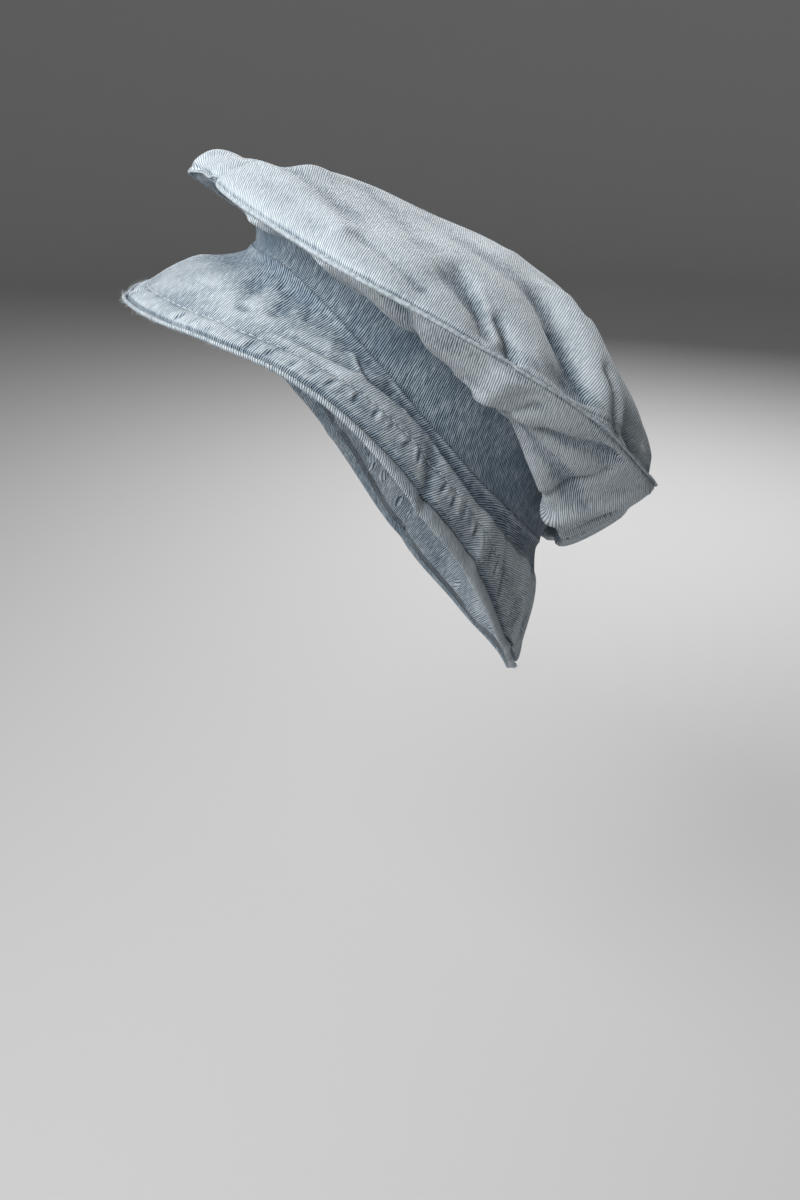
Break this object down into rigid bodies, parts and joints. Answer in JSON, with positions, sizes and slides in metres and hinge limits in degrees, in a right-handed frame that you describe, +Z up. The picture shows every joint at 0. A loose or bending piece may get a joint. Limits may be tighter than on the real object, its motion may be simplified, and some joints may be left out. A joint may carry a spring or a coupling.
{
  "type": "baker boy cap",
  "caption": "Slouched cloth cap with a large disc crown, a head band and a soft brim that runs all round, peaked in front and pointed at the back.",
  "frame": {"origin": "middle of the head opening, where the head sits, with the head upright", "axes": "+Z up along the upright head, the cap's front towards -Y, the wearer's left towards +X"},
  "size_m": [0.2706, 0.2603, 0.2865],
  "materials": {
    "denim_top": "washed light blue denim, matt twill",
    "denim_side": "washed light blue denim, matt twill",
    "denim_brim": "washed light blue denim with light thread stitching",
    "denim_facing": "washed light blue denim with a rolled edge"
  },
  "bodies": {
    "root": {"crown_top": "denim_top", "crown_side": "denim_side", "band": "denim_side", "brim_upper": "denim_brim", "brim_lower": "denim_facing"}
  },
  "joints": []
}
